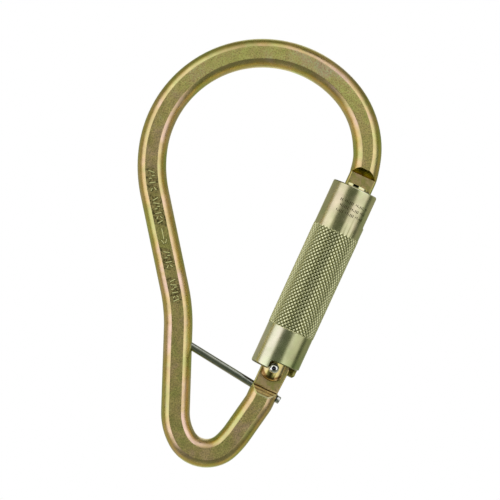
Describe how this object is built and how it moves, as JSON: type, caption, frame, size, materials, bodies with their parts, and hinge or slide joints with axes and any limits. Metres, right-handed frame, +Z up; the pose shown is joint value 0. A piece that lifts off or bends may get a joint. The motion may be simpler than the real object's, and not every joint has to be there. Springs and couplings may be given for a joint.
{
  "type": "locking carabiner",
  "caption": "Large pear-shaped steel carabiner with a knurled twist-lock sleeve on its swinging gate and a captive pin across the lower eye.",
  "frame": {"origin": "the seat of the top bow, where an anchor bears, on the load line", "axes": "+Z up along the load line, +X towards the gate, -Y the front face"},
  "size_m": [0.1096, 0.022, 0.196],
  "materials": {
    "plated_bar": "yellow zinc plated steel, finely grained",
    "plated_sleeve": "pale yellow zinc plated steel, turned, with a knurled grip",
    "plated_gate": "glossy yellow zinc plated steel",
    "bright_steel": "polished steel",
    "pin_steel": "plain grey steel",
    "spring_steel": "drawn spring wire",
    "bronze": "turned bearing bronze"
  },
  "bodies": {
    "frame": {"body": "plated_bar", "captive_pin": "pin_steel"},
    "gate_arm": {"gate": "plated_gate", "hinge_rivet": "bright_steel", "latch_pin": "bright_steel", "upper_collar": "bronze", "collar_pin": "bright_steel", "gate_spring": "spring_steel"},
    "plunger": {"gate_plunger": "bright_steel"},
    "sleeve_unit": {"sleeve": "plated_sleeve", "sleeve_bush": "bronze", "snap_ring": "spring_steel", "sleeve_spring": "spring_steel"}
  },
  "joints": [
    {"name": "gate_hinge", "type": "hinge", "parent": "frame", "child": "gate_arm", "pos_m": [0.02445, 0, -0.1324], "axis": [0, -1, 0], "range_deg": [0, 45], "stiffness_Nm_per_rad": 0.15, "springref_deg": -57.3},
    {"name": "sleeve_twist", "type": "hinge", "parent": "gate_arm", "child": "sleeve_unit", "pos_m": [0.02445, 0, -0.1324], "axis": [-0.2334, 0, -0.9724], "range_deg": [0, 95], "stiffness_Nm_per_rad": 0.02, "springref_deg": -45.84, "deforming": ["sleeve_spring"]},
    {"name": "plunger_slide", "type": "slide", "parent": "gate_arm", "child": "plunger", "axis": [0.2334, 0, 0.9724], "range_m": [0, 0.0012], "deforming": ["gate_spring"]}
  ],
  "couplings": [
    {"joint": "plunger_slide", "follows": "gate_hinge", "m_per_rad": 0.0015}
  ]
}
